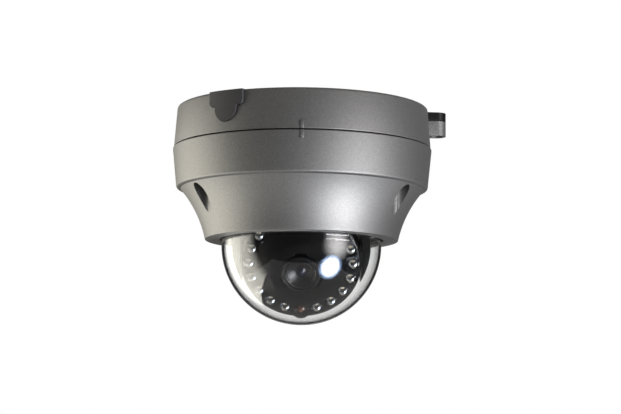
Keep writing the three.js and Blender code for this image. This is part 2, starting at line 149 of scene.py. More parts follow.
def moulded_plastic(name, colour, roughness, grain=2600, strength=0.12, gloss=0.5):
    """Moulded plastic with a fine spark-eroded grain and a little unevenness in its gloss."""
    material, tree, shader = new_material(name, Specular_IOR_Level=gloss)
    lighter = tuple(min(1, c * 1.25) for c in colour)
    tone = ramp(tree, texture(tree, "ShaderNodeTexNoise", 120, Detail=4.0), [(0.3, colour), (0.7, lighter)])
    tree.links.new(tone.outputs["Color"], shader.inputs["Base Color"])
    patches = texture(tree, "ShaderNodeTexNoise", 240, Detail=5.0)
    rough = remap(tree, patches, roughness - 0.05, roughness + 0.07)
    tree.links.new(rough.outputs["Result"], shader.inputs["Roughness"])
    bump(tree, shader, texture(tree, "ShaderNodeTexNoise", grain, Detail=3.0), strength, 0.02)
    return material


def plated_metal(name, colour, roughness, streaks=60):
    """Plated steel with faint turning marks and patches."""
    material, tree, shader = new_material(name, Metallic=1.0)
    marks = texture(tree, "ShaderNodeTexNoise", streaks, Detail=8.0, Roughness=0.7)
    darker = tuple(c * 0.8 for c in colour)
    tone = ramp(tree, marks, [(0.35, darker), (0.65, colour)])
    tree.links.new(tone.outputs["Color"], shader.inputs["Base Color"])
    rough = remap(tree, marks, roughness - 0.08, roughness + 0.1)
    tree.links.new(rough.outputs["Result"], shader.inputs["Roughness"])
    bump(tree, shader, texture(tree, "ShaderNodeTexNoise", 1800, Detail=2.0), 0.1, 0.02)
    return material


def solder_mask():
    """A green circuit board: solder mask over faint copper tracks."""
    material, tree, shader = new_material("circuit_board", Coat_Weight=0.4, Coat_Roughness=0.12)
    tracks = texture(tree, "ShaderNodeTexVoronoi", 420)
    tone = ramp(tree, tracks, [(0.2, (0.006, 0.055, 0.022)), (0.6, (0.012, 0.11, 0.045))], output="Distance")
    tree.links.new(tone.outputs["Color"], shader.inputs["Base Color"])
    rough = remap(tree, texture(tree, "ShaderNodeTexNoise", 300), 0.28, 0.42)
    tree.links.new(rough.outputs["Result"], shader.inputs["Roughness"])
    bump(tree, shader, tracks, 0.2, 0.04, output="Distance")
    return material


def clear_plastic(name, colour, ior, roughness=0.0):
    """Clear resin that lets lamps through, so that what is behind it is lit."""
    material, tree, shader = new_material(
        name, Base_Color=(*colour, 1), Roughness=roughness, IOR=ior, Transmission_Weight=1.0
    )
    through = tree.nodes.new("ShaderNodeBsdfTransparent")
    through.inputs["Color"].default_value = (0.93, 0.93, 0.93, 1)
    rays = tree.nodes.new("ShaderNodeLightPath")
    mix = tree.nodes.new("ShaderNodeMixShader")
    tree.links.new(rays.outputs["Is Shadow Ray"], mix.inputs["Fac"])
    tree.links.new(shader.outputs["BSDF"], mix.inputs[1])
    tree.links.new(through.outputs["BSDF"], mix.inputs[2])
    tree.links.new(mix.outputs["Shader"], tree.nodes["Material Output"].inputs["Surface"])
    return material


def finish_material(material, fine):
    """A trace of unevenness in the gloss of a material that has no texture yet."""
    tree = material.node_tree
    shader = tree.nodes["Principled BSDF"]
    rough = remap(tree, texture(tree, "ShaderNodeTexNoise", fine, Detail=2.0), 0.03, 0.07)
    tree.links.new(rough.outputs["Result"], shader.inputs["Roughness"])


DEEP_BLACK = (0.0012, 0.0012, 0.0014)

PAINT = metallic_paint()
BLACK = moulded_plastic("black_moulding", (0.0012, 0.0012, 0.0013), 0.38, strength=0.04, gloss=0.3)
LENS_BLACK = moulded_plastic("lens_black", DEEP_BLACK, 0.30, strength=0.01, gloss=0.28)
GLOSSY_BLACK = moulded_plastic("glossy_black_moulding", DEEP_BLACK, 0.22, strength=0.0, gloss=0.2)
RUBBER = moulded_plastic("black_rubber", (0.022, 0.022, 0.024), 0.60, grain=1500, strength=0.2)
GREEN = moulded_plastic("terminal_green", (0.02, 0.17, 0.06), 0.45)
DARK_BOARD = moulded_plastic("black_solder_mask", (0.002, 0.003, 0.0025), 0.35)
CHIP = moulded_plastic("chip_epoxy", (0.018, 0.018, 0.019), 0.5)
STEEL = plated_metal("plated_steel", (0.62, 0.62, 0.63), 0.28)
ZINC = plated_metal("zinc_sheet", (0.52, 0.54, 0.56), 0.38, streaks=40)
GOLD = plated_metal("brass_contact", (0.75, 0.58, 0.28), 0.3)
BOARD = solder_mask()
CLEAR = clear_plastic("clear_dome", (0.985, 0.99, 0.985), 1.49)
RESIN = clear_plastic("led_resin", (0.93, 0.95, 0.97), 1.50, roughness=0.02)
COATED, _, _ = new_material("coated_lens", Base_Color=(0.0015, 0.0015, 0.006, 1), Roughness=0.04, IOR=1.55)
finish_material(COATED, 300)
CUP, _, _ = new_material("led_cup", Metallic=1.0, Base_Color=(0.82, 0.83, 0.85, 1), Roughness=0.1)
finish_material(CUP, 600)
AMBER = moulded_plastic("sensor_window", (0.022, 0.009, 0.005), 0.10, strength=0.0)
DIE = moulded_plastic("led_die", (0.25, 0.22, 0.16), 0.3)


# ---------- meshes ----------
def at_bearing(bearing, r, z=0.0):
    a = math.radians(bearing)
    return Vector((r * math.sin(a), -r * math.cos(a), z))


def swing(bearing):
    return Matrix.Rotation(math.radians(bearing), 4, "Z")


def finished(name, bm, material, place=None, sharp=32):
    """Makes an object in metres from a bmesh in millimetres."""
    bmesh.ops.remove_doubles(bm, verts=bm.verts, dist=1e-4)
    bmesh.ops.recalc_face_normals(bm, faces=bm.faces)
    if place is not None:
        bmesh.ops.transform(bm, matrix=place, verts=bm.verts)
    bmesh.ops.scale(bm, vec=(MM, MM, MM), verts=bm.verts)
    mesh = bpy.data.meshes.new(name)
    bm.to_mesh(mesh)
    bm.free()
    for face in mesh.polygons:
        face.use_smooth = True
    mesh.set_sharp_from_angle(angle=math.radians(sharp))
    mesh.materials.append(material)
    made = bpy.data.objects.new(name, mesh)
    bpy.context.scene.collection.objects.link(made)
    return made


def filleted(profile, radius, steps=4, closed=True):
    """The profile with its corners rounded. A corner may carry its own radius as a third number."""
    points = [Vector(p[:2]) for p in profile]
    radii = [p[2] if len(p) > 2 else radius for p in profile]
    count = len(points)
    out = []
    for i, point in enumerate(points):
        before, after = points[i - 1], points[(i + 1) % count]
        inner = closed or 0 < i < count - 1
        to_before, to_after = before - point, after - point
        if not inner or radii[i] == 0 or min(to_before.length, to_after.length) < 1e-6:
            out.append(point)
            continue
        half = to_before.angle(to_after) / 2
        if half > math.radians(87):
            out.append(point)
            continue
        back = min(radii[i] / math.tan(half), 0.45 * to_before.length, 0.45 * to_after.length)
        start = point + to_before.normalized() * back
        end = point + to_after.normalized() * back
        for k in range(steps + 1):
            t = k / steps
            out.append(start * (1 - t) ** 2 + point * 2 * t * (1 - t) + end * t ** 2)
    return [(max(p.x, 0.0), p.y) for p in out]


def turned_bmesh(profile, segments):
    """Turns a profile of (radius, height) about Z. It closes on itself, or starts and ends on the axis."""
    bm = bmesh.new()
    closed = profile[0][0] > 1e-6
    rings = []
    for r, z in profile:
        if r < 1e-6:
            rings.append([bm.verts.new((0, 0, z))])
            continue
        angles = [2 * math.pi * i / segments for i in range(segments)]
        rings.append([bm.verts.new((r * math.cos(a), r * math.sin(a), z)) for a in angles])
    pairs = list(zip(rings, rings[1:]))
    if closed:
        pairs.append((rings[-1], rings[0]))
    for lower, upper in pairs:
        for i in range(segments):
            j = (i + 1) % segments
            corners = [lower[i % len(lower)], lower[j % len(lower)]]
            corners += [upper[j % len(upper)], upper[i % len(upper)]]
            unique = list(dict.fromkeys(corners))
            if len(unique) > 2:
                bm.faces.new(unique)
    return bm


def turned(name, profile, material, segments=MEDIUM, fillet=0.25, place=None, steps=3, sharp=32):
    closed = profile[0][0] > 1e-6
    shape = filleted(profile, fillet, steps, closed) if fillet else [p[:2] for p in profile]
    return finished(name, turned_bmesh(shape, segments), material, place, sharp)


def round_edges(bm, width, segments):
    bmesh.ops.bevel(
        bm, geom=bm.edges, offset=width, segments=segments, profile=0.5, affect="EDGES", clamp_overlap=True,
    )


def box_bmesh(x0, x1, y0, y1, z0, z1, bevel=0.0, segments=2):
    bm = bmesh.new()
    bmesh.ops.create_cube(bm, size=1)
    for v in bm.verts:
        v.co = Vector((
            x1 if v.co.x > 0 else x0,
            y1 if v.co.y > 0 else y0,
            z1 if v.co.z > 0 else z0,
        ))
    if bevel:
        round_edges(bm, bevel, segments)
    return bm


def block(name, x0, x1, y0, y1, z0, z1, material, bevel=0.3, place=None):
    return finished(name, box_bmesh(x0, x1, y0, y1, z0, z1, bevel), material, place)


def rod(name, r, z0, z1, material, x=0.0, y=0.0, segments=SMALL, place=None, fillet=0.0):
    profile = [(0, z0), (r, z0), (r, z1), (0, z1)]
    at = Matrix.Translation((x, y, 0))
    return turned(name, profile, material, segments, fillet, place @ at if place else at)


def outline_bmesh(points, z0, z1):
    """A prism from an outline of (x, y) points."""
    bm = bmesh.new()
    lower = [bm.verts.new((x, y, z0)) for x, y in points]
    upper = [bm.verts.new((x, y, z1)) for x, y in points]
    bm.faces.new(lower)
    bm.faces.new(upper)
    for i in range(len(points)):
        j = (i + 1) % len(points)
        bm.faces.new((lower[i], lower[j], upper[j], upper[i]))
    return bm


def combine(target, others, operation="DIFFERENCE"):
    """Cuts others from the target, joins them to it or keeps what they share, and bakes the result in."""
    for other in others:
        modifier = target.modifiers.new("solid", "BOOLEAN")
        modifier.operation = operation
        modifier.solver = "EXACT"
        modifier.object = other
    bpy.context.view_layer.update()
    depsgraph = bpy.context.evaluated_depsgraph_get()
    mesh = bpy.data.meshes.new_from_object(target.evaluated_get(depsgraph))
    target.modifiers.clear()
    target.data = mesh
    for other in others:
        bpy.data.objects.remove(other)
    for face in mesh.polygons:
        face.use_smooth = True
    mesh.set_sharp_from_angle(angle=math.radians(32))
    return target


def soft_edges(piece, width_mm, segments=2, angle=40):
    """Rounds the piece's sharp edges a little, so that they catch the light."""
    modifier = piece.modifiers.new("edges", "BEVEL")
    modifier.width = width_mm * MM
    modifier.segments = segments
    modifier.limit_method = "ANGLE"
    modifier.angle_limit = math.radians(angle)
    modifier.harden_normals = False
    return piece


def stands_for(piece, body, slot, *nodes):
    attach(piece, body)
    if nodes:
        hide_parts(*nodes)
    return piece


def arc_points(start, end, sag, steps):
    """Points on an arc from start to end that bulges by sag to the left of its way."""
    a, b = Vector(start), Vector(end)
    chord = b - a
    half = chord.length / 2
    radius = (half * half + sag * sag) / (2 * abs(sag))
    left = Vector((-chord.y, chord.x)).normalized() * (1 if sag > 0 else -1)
    centre = (a + b) / 2 + left * (abs(sag) - radius)
    first = math.atan2(a.y - centre.y, a.x - centre.x)
    sweep = math.atan2(b.y - centre.y, b.x - centre.x) - first
    sweep = (sweep + math.pi) % (2 * math.pi) - math.pi
    angles = [first + sweep * k / steps for k in range(steps + 1)]
    return [(centre.x + radius * math.cos(t), centre.y + radius * math.sin(t), 0) for t in angles]


# ---------- base, its plate and the side port ----------
def front_rib(name, surface, z0, z1):
    return block(name, -1.0, 1.0, -surface - 0.45, -surface + 1.5, z0, z1, PAINT, bevel=0.25)


def port_outline(grow):
    """The side port's outline across its bearing: x is across, y is height."""
    wide, narrow = PORT_WIDE / 2 + grow, PORT_NARROW / 2 + grow
    centre = PORT_LOW + PORT_NARROW / 2
    shoulder = PORT_WIDE_Z - grow
    corner, inner = 1.9 + grow, 1.1
    left = [(-wide, 2.0)]
    for k in range(9):
        t = math.pi + math.pi / 2 * k / 8
        left.append((-wide + corner + corner * math.cos(t), shoulder + corner + corner * math.sin(t)))
    for k in range(7):
        t = math.pi / 2 - math.pi / 2 * k / 6
        left.append((-narrow - inner + inner * math.cos(t), shoulder - inner + inner * math.sin(t)))
    arc = []
    for k in range(33):
        t = math.pi + math.pi * k / 32
        arc.append((narrow * math.cos(t), centre + narrow * math.sin(t)))
    right = [(-x, y) for x, y in reversed(left)]
    return left + arc + right


def port_prism(name, grow, r0, r1, material):
    """The port's outline pushed out from radius r0 to r1 along its bearing."""
    upright = Matrix(((1, 0, 0, 0), (0, 0, -1, 0), (0, 1, 0, 0), (0, 0, 0, 1)))
    bm = outline_bmesh(port_outline(grow), r0, r1)
    return finished(name, bm, material, swing(PORT_BEARING) @ upright)


def ear_shape(name, inner, end, z0, z1, material, bevel=0.0):
    """A bar with a round end that stands out of the wall at the lock screw's bearing."""
    points = [(-end, -inner)]
    for k in range(25):
        t = math.pi + math.pi * k / 24
        points.append((end * math.cos(t), -EAR_R + end * math.sin(t)))
    points.append((end, -inner))
    bm = outline_bmesh(points, z0, z1)
    if bevel:
        round_edges(bm, bevel, 3)
    return finished(name, bm, material, swing(EAR_BEARING))


def post(name, bearing, r, radius, z0, z1, material, segments=SMALL):
    spot = at_bearing(bearing, r)
    return rod(name, radius, z0, z1, material, spot.x, spot.y, segments)


def make_base():
    profile = [
        (0, WALL_TOP, 0), (67, WALL_TOP, 1.0), (67, 0, 0.3), (BASE_TOP_R - 0.15, 0, 1.6),
        (BASE_LOW_R - 0.08, SEAM_TOP - 0.02, 0.35), (68.9, SEAM_TOP, 0.2), (68.9, -27, 0.3),
        (66.2, -27, 0.3), (66.2, WALL_LOW, 1.5), (0, WALL_LOW, 0),
    ]
    base = turned("housing_base", profile, PAINT, FINE, fillet=0.3, steps=4)
    hooks = []
    for bearing in (30, 150, 270):
        hook = box_bmesh(-6, 6, -68, -62.6, -1.8, -0.15, bevel=0.3)
        hooks.append(finished("hook", hook, PAINT, swing(bearing)))
    bosses = [post("boss", b, SCREW_R, 5.5, -32.6, -19, PAINT) for b in SCREW_BEARINGS]
    boss = ear_shape("ear_boss", 69, EAR_END, -13.2, -5.0, PAINT, bevel=0.5)
    rib = front_rib("rib", BASE_LOW_R - 0.2, SEAM_TOP, SEAM_TOP + 4.25)
    combine(base, hooks + bosses + [boss, rib], "UNION")
    cuts = [
        port_prism("port_cut", 0.3, 60, 80, PAINT),
        ear_shape("ear_cut", 60, EAR_END + 0.3, -5.0, 3, PAINT),
        post("counterbore", EAR_BEARING, EAR_R, 3.8, -16, -7.5, PAINT),
        post("lock_hole", EAR_BEARING, EAR_R, 2.3, -8, 2, PAINT),
        rod("grommet_hole", 8, -22, -15, PAINT, 0, 26),
    ]
    cuts += [post("screw_hole", b, SCREW_R, 2.3, -33, -21.5, PAINT) for b in SCREW_BEARINGS]
    combine(base, cuts)
    stands_for(base, "base", "housing_paint", "base_case")


def make_plate():
    plate = turned("ceiling_plate", [(0, -3), (60, -3), (60, 0), (0, 0)], BLACK, FINE, fillet=0.4)
    tabs = []
    for bearing in (30, 150, 270):
        tab = box_bmesh(-6, 6, -66.3, -56, -4.8, -2.1, bevel=0.4)
        tabs.append(finished("tab", tab, BLACK, swing(bearing)))
    ribs = []
    for bearing in range(0, 360, 60):
        if bearing != 180:
            rib = box_bmesh(-0.8, 0.8, -55, -24, -4.4, -2.5, bevel=0.2)
            ribs.append(finished("stiffener", rib, BLACK, swing(bearing)))
    ear = ear_shape("ear", 50, EAR_END, -4.7, 0, BLACK, bevel=0.45)
    combine(plate, tabs + ribs + [ear], "UNION")
    cuts = [rod("cable_hole", 13, -6, 2, BLACK, 0, 26, 96)]
    cuts.append(post("ear_hole", EAR_BEARING, EAR_R, 2.0, -6, -1.2, BLACK))
    for bearing in (45, 165, 285):
        slot = box_bmesh(-2.6, 2.6, -50, -38, -6, 1)
        cuts.append(finished("slot", slot, BLACK, swing(bearing)))
    combine(plate, cuts)
    stands_for(plate, "base", "black_plastic", "mount_plate")


def make_conduit_cap():
    cap = port_prism("conduit_cap_plug", 0.0, 62, 80, RUBBER)
    keep = turned("keep", [(66.0, -20), (72.3, -20), (72.3, -0.1), (66.0, -0.1)], RUBBER, FINE, fillet=0)
    combine(cap, [keep], "INTERSECT")
    flange = port_prism("flange", 1.6, 55, 80, RUBBER)
    inner = turned("keep", [(64.6, -17.3), (66.6, -17.3), (66.6, -0.1), (64.6, -0.1)], RUBBER, FINE, fillet=0)
    combine(flange, [inner], "INTERSECT")
    combine(cap, [flange], "UNION")
    soft_edges(cap, 0.9, 4)
    stands_for(cap, "base", "soft_black", "conduit_cap")


def screw_profile(head_r, head_h, shank_r, length, crown=0.4):
    """A screw with its head down and its thread cut as fine rings."""
    profile = [(0, 0), (head_r, 0, crown), (head_r, head_h, 0.15), (shank_r, head_h, 0)]
    pitch = 0.7
    turns = int((length - 0.8) / pitch)
    for k in range(turns):
        z = head_h + 0.3 + k * pitch
        profile += [(shank_r, z, 0), (shank_r - 0.28, z + pitch / 2, 0)]
    tip = head_h + length
    profile += [(shank_r, tip - 0.5, 0), (shank_r - 0.4, tip, 0), (0, tip)]
    return profile


def make_screw(name, node, body, spot, head_r, head_h, shank_r, length, drive, flip=False):
    """drive is the number of sides of its socket, or 0 for a straight slot."""
    piece = turned(name, screw_profile(head_r, head_h, shank_r, length), STEEL, SMALL, fillet=0.2)
    if drive:
        cutter = rod("drive", head_r * 0.46, -1, head_h * 0.5, STEEL, segments=drive)
    else:
        cutter = block("drive", -0.5, 0.5, -head_r * 2, head_r * 2, -1, head_h * 0.45, STEEL, bevel=0)
    combine(piece, [cutter])
    if drive == 12:
        pin = rod("pin", head_r * 0.14, head_h * 0.05, head_h * 0.7, STEEL, segments=16)
        combine(piece, [pin], "UNION")
    turn = Matrix.Rotation(math.pi, 4, "X") if flip else Matrix.Identity(4)
    piece.data.transform(Matrix.Translation(Vector(spot) * MM) @ turn)
    stands_for(piece, body, "steel", node)


def make_base_fittings():
    lock = at_bearing(EAR_BEARING, EAR_R, -10.3)
    make_screw("lock_screw_torx", "lock_screw", "base", lock, 3.4, 2.4, 1.7, 6, 12)
    seal = [(69.2, -25.4), (70.4, -25.4), (70.4, SEAM_TOP - 0.3), (69.2, SEAM_TOP - 0.3)]
    stands_for(turned("base_seal_ring", seal, RUBBER, FINE, 0.35), "base", "soft_black", "base_seal")
    grommet = [
        (3.2, -21.8), (10.5, -21.8), (10.5, -20.5), (7.6, -20.5, 0.1), (7.6, -17.3, 0.1), (10.5, -17.3),
        (10.5, -15.2), (3.2, -15.2),
    ]
    piece = turned("grommet", grommet, RUBBER, SMALL * 2, 0.4, Matrix.Translation((0, 26, 0)))
    stands_for(piece, "base", "soft_black", "cable_grommet")


# ---------- cover, dome and clamp ----------
def cover_outside():
    """Down the outside: the straight band, the scooped funnel and the foot of the lip."""
    band = [(COVER_R, SEAM_LOW, 0.5), (BAND_LOW_R - 0.15, -45.2, 1.5)]
    funnel = arc_points((67.85, -45.8), (54.0, -73.6), -1.9, 20)
    return band + funnel + [(53.8, COVER_BOTTOM, 0.8)]


def cover_inside():
    """Back up the inside: the lip round the dome, the hollow funnel and the rim at the seam."""
    lip = [(LIP_R, COVER_BOTTOM, 0.35), (LIP_R, LIP_TOP, 0.2), (51.4, LIP_TOP, 0.2)]
    funnel = arc_points((51.6, -71.9), (64.0, -46.6), 1.7, 10)
    rim = [(67.6, -42.6, 0.5), (69.4, -25.8, 0.2), (70.7, -25.8, 0.2), (70.7, SEAM_LOW, 0.2)]
    return lip + funnel + rim


def make_cover():
    outside = cover_outside()
    cover = turned("housing_cover", outside + cover_inside(), PAINT, FINE, fillet=0.3, steps=5)
    inset = 0.35  # keeps the joined walls just under the outer surface
    solid = [(0, SEAM_LOW, 0)] + [(r - inset, z, f) for r, z, f in outside] + [(0, COVER_BOTTOM + inset, 0)]

    def envelope():
        return turned("envelope", solid, PAINT, FINE, fillet=0.3, steps=5)

    walls = [post("pocket_wall", b, SCREW_R, 7.4, -70, -33, PAINT, 64) for b in SCREW_BEARINGS]
    posts = [post("clamp_post", b, CLAMP_R, 3.0, -68.6, -58.3, PAINT) for b in CLAMP_BEARINGS]
    kept = [combine(w, [envelope()], "INTERSECT") for w in walls + posts]
    rib = front_rib("rib", COVER_R - 0.2, SEAM_LOW - 4.55, SEAM_LOW)
    combine(cover, kept + [rib], "UNION")
    cuts = [post("pocket", b, SCREW_R, POCKET_R, -90, -38, PAINT, 96) for b in SCREW_BEARINGS]
    cuts += [post("screw_way", b, SCREW_R, 2.4, -39, -32, PAINT) for b in SCREW_BEARINGS]
    cuts += [post("clamp_hole", b, CLAMP_R, 1.5, -65.3, -57, PAINT) for b in CLAMP_BEARINGS]
    combine(cover, cuts)
    soft_edges(cover, 0.35, 2, angle=50)
    stands_for(cover, "cover", "housing_paint", "cover_shell")
    for number, bearing in enumerate(SCREW_BEARINGS, 1):
        spot = at_bearing(bearing, SCREW_R, -41.5)
        node = f"cover_screw_{number}"
        make_screw(f"{node}_torx", node, "cover", spot, 3.7, 3.2, 2.0, 14, 12)


def sphere_arc(r, steps):
    return [
        (r * math.cos(math.pi / 2 * k / steps), PIVOT_Z - r * math.sin(math.pi / 2 * k / steps), 0)
        for k in range(steps + 1)
    ]


def make_dome():
    outside = sphere_arc(DOME_OUT, 80)
    inside = sphere_arc(DOME_IN, 76)[::-1]
    outside[-1] = (0, PIVOT_Z - DOME_OUT, 0)
    inside[0] = (0, PIVOT_Z - DOME_IN, 0)
    flange = [(DOME_IN, -69.4, 0.3), (51.0, -69.4, 0.3), (51.0, -71.1, 0.3), (DOME_OUT, -71.1, 0.3)]
    dome = turned("clear_dome_shell", inside + flange + outside, CLEAR, FINE, fillet=0.3)
    stands_for(dome, "cover", "clear_dome", "dome")
    section = [(45.9, -72.1), (51.0, -72.1), (51.0, -71.4), (45.9, -71.4)]
    stands_for(turned("dome_gasket_ring", section, RUBBER, FINE), "cover", "soft_black", "dome_gasket")


def make_clamp():
    clamp = turned("dome_clamp_ring", [
        (43.0, -69.1), (49.9, -69.1), (49.9, -56.0), (45.0, -56.0), (44.8, -48.0),
        (43.2, -48.0), (43.2, -58.0), (48.0, -58.0), (48.0, -67.0), (43.0, -67.0),
    ], BLACK, FINE)
    ears = []
    for bearing in CLAMP_BEARINGS:
        ear = box_bmesh(-4, 4, -55.9, -49, -58.0, -56.0, bevel=0.4)
        ears.append(finished("ear", ear, BLACK, swing(bearing)))
    combine(clamp, ears, "UNION")
    combine(clamp, [post("hole", b, CLAMP_R, 1.8, -60, -54, BLACK) for b in CLAMP_BEARINGS])
    stands_for(clamp, "cover", "black_plastic", "dome_clamp")
    for number, bearing in enumerate(CLAMP_BEARINGS, 1):
        spot = at_bearing(bearing, CLAMP_R, -54.1)
        node = f"clamp_screw_{number}"
        make_screw(f"{node}_head", node, "cover", spot, 2.7, 1.6, 1.2, 6.5, 6, flip=True)


# ---------- chassis, boards and pan bearing ----------
def make_chassis():
    section = [(0, -33.7), (3, -33.7, 0.3), (3, -20.5, 0.3), (0, -20.5)]
    for number, bearing in enumerate(STANDOFF_BEARINGS, 1):
        at = Matrix.Translation(at_bearing(bearing, STANDOFF_R))
        standoff = turned(f"standoff_hex_{number}", section, GOLD, 6, 0.3, at, sharp=20)
        stands_for(standoff, "base", "steel", f"standoff_{number}")
    section = [(0, -28.6), (53.5, -28.6), (53.5, -27), (0, -27)]
    board = turned("power_board_panel", section, BOARD, MEDIUM, 0.15)
    holes = [post("hole", b, STANDOFF_R, 3.4, -30, -26, BOARD) for b in STANDOFF_BEARINGS]
    combine(board, holes + [rod("notch", 12, -30, -26, BOARD, 0, 26)])
    stands_for(board, "base", "circuit_board", "power_board")
    chassis = turned("chassis_disc", [(0, -35.6), (52, -35.6), (52, -34), (0, -34)], ZINC, MEDIUM, 0.3)
    holes = [post("hole", b, 38, 8.5, -37, -33, ZINC) for b in (60, 180, 300)]
    combine(chassis, holes + [rod("way", 10, -37, -33, ZINC)])
    stands_for(chassis, "base", "zinc_sheet", "chassis_plate")
    make_pan_bearing()
    make_terminals()
    make_board_parts()


def make_pan_bearing():
    pan = [(13.9, -39.6), (32, -39.6), (32, -35.9), (13.9, -35.9)]
    stands_for(turned("pan_base_ring", pan, BLACK, MEDIUM, 0.5), "base", "black_plastic", "pan_base")
    # The CAD's flange is 17 mm and touches the bezel at the tilt limit, so this one is narrower.
    flange = 16.1
    section = [(10, -43.9), (flange, -43.9), (flange, -42.7), (13.5, -42.7), (13.5, -35.9), (10, -35.9)]
    retainer = turned("pan_retainer_ring", section, ZINC, MEDIUM, 0.25)
    stands_for(retainer, "base", "zinc_sheet", "pan_retainer")


def make_terminals():
    body = block("terminal_strip", -27, -11, 12, 21, -26.7, -20.5, GREEN, bevel=0.35)
    cuts = []
    for k in range(3):
        x = -24.3 + 5.3 * k
        cuts.append(rod("screw_hole", 1.7, -22.4, -19, GREEN, x, 17.5, 24))
        cuts.append(block("wire_hole", x - 1.6, x + 1.6, 9, 15, -25.6, -22.9, GREEN, bevel=0))
    combine(body, cuts)
    stands_for(body, "base", "terminal_green", "terminal_block")


def make_board_parts():
    """Components on the underside of the power board, in the space above the chassis."""
    under = -28.7
    chips = [
        (-20, -18, 9, 9, 1.4), (8, -30, 7, 5, 1.3), (24, 2, 6, 6, 1.2), (-38, -4, 5, 4, 1.1),
        (30, -22, 4, 6, 1.2),
    ]
    for number, (x, y, w, d, h) in enumerate(chips, 1):
        sides = (x - w / 2, x + w / 2, y - d / 2, y + d / 2)
        chip = block(f"chip_{number}", *sides, under - h, under, CHIP, 0.2)
        stands_for(chip, "base", "black_plastic")
    for number, (x, y, r) in enumerate([(-6, 10, 3.2), (6, 12, 3.2), (38, 12, 2.5), (-30, 22, 3.2)], 1):
        section = [
            (0, -33.2), (r, -33.2, 0.5), (r, -29.8, 0.2), (r - 0.3, -29.4, 0), (r, -29.0, 0),
            (r, under, 0), (0, under),
        ]
        can = turned(f"capacitor_{number}", section, STEEL, SMALL, 0.3, Matrix.Translation((x, y, 0)))
        stands_for(can, "base", "steel")


# ---------- pan yoke and tilt frame ----------
def make_yoke():
    plate = turned("yoke", [(14, -42.4), (36.5, -42.4), (36.5, -39.9), (14, -39.9)], BLACK, MEDIUM, 0.4)
    parts = []
    angles = [math.radians(t) for t in range(-90, 91, 3)]
    ball_profile = [(YOKE_BALL_R * math.cos(t), YOKE_BALL_R * math.sin(t), 0) for t in angles]
    ball_profile[0], ball_profile[-1] = (0, -YOKE_BALL_R, 0), (0, YOKE_BALL_R, 0)
    on_its_side = Matrix.Translation((0, 0, PIVOT_Z)) @ Matrix.Rotation(math.pi / 2, 4, "Y")
    for side in (-1, 1):
        ball = turned("ball", ball_profile, BLACK, MEDIUM, 0, on_its_side)
        low, high = sorted((33 * side, 60 * side))
        keep = block("keep", low, high, -30, 30, PIVOT_Z - 30, PIVOT_Z + 30, BLACK, bevel=0)
        parts.append(combine(ball, [keep], "INTERSECT"))
        low, high = sorted((33 * side, 36.4 * side))
        parts.append(block("arm", low, high, -12, 12, PIVOT_Z, -39.9, BLACK, bevel=0.5))
        low, high = sorted((29 * side, 33.4 * side))
        for y in (-9.5, 9.5):
            rib = block("gusset", low, high, y - 0.9, y + 0.9, -46.5, -41.5, BLACK, bevel=0.3)
            parts.append(rib)
    combine(plate, parts, "UNION")
    cuts = []
    for side in (-1, 1):
        sideways = Matrix.Translation((0, 0, PIVOT_Z)) @ Matrix.Rotation(math.pi / 2 * side, 4, "Y")
        cuts.append(rod("bore", 2.6, 30, 50, BLACK, place=sideways))
        cuts.append(rod("recess", 5.0, 36.9, 50, BLACK, place=sideways, segments=64))
    combine(plate, cuts)
    soft_edges(plate, 0.35, 2, angle=45)
    stands_for(plate, "yoke", "black_plastic", "pan_yoke")


def make_tilt_frame():
    hoop = turned("tilt_hoop", [(27.4, -4), (32.0, -4), (32.0, 4), (27.4, 4)], BLACK, MEDIUM, 0.5)
    bosses, holes = [], []
    for side in (-1, 1):
        sideways = Matrix.Rotation(math.pi / 2 * side, 4, "Y")
        bosses.append(rod("boss", 3.9, 29.5, 32.7, BLACK, place=sideways))
        holes.append(rod("hole", 2.5, 20, 40, BLACK, place=sideways))
    combine(hoop, bosses, "UNION")
    combine(hoop, holes)
    hoop.data.transform(in_metres(optical))
    stands_for(hoop, "tilt_ring", "black_plastic", "tilt_frame")
    for hand, side in (("left", -1), ("right", 1)):
        pin = turned(f"tilt_pin_{hand}", [
            (0, 38.6), (4.3, 38.6, 0.4), (4.3, 37.2, 0.2), (2.2, 37.2, 0), (2.2, 28.5, 0.4), (0, 28.5),
        ], STEEL, SMALL, 0.2)
        combine(pin, [block("slot", -0.5, 0.5, -5, 5, 38.0, 40, STEEL, bevel=0)])
        sideways = optical @ Matrix.Rotation(math.pi / 2 * side, 4, "Y")
        pin.data.transform(in_metres(sideways))
        stands_for(pin, "yoke", "steel", f"tilt_screw_{hand}")


def in_metres(matrix):
    """The same transform for a mesh that is already in metres."""
    scaled = matrix.copy()
    scaled.translation = matrix.translation * MM
    return scaled


# ---------- camera module ----------
def led_spot(k):
    """Where LED position k stands in the module's frame; 0 is straight down."""
    a = 2 * math.pi * k / LED_COUNT
    # Seen from the front, the module's frame has +X to the right and +Y up.
    return Vector((LED_RING * math.sin(a), -LED_RING * math.cos(a), 0))


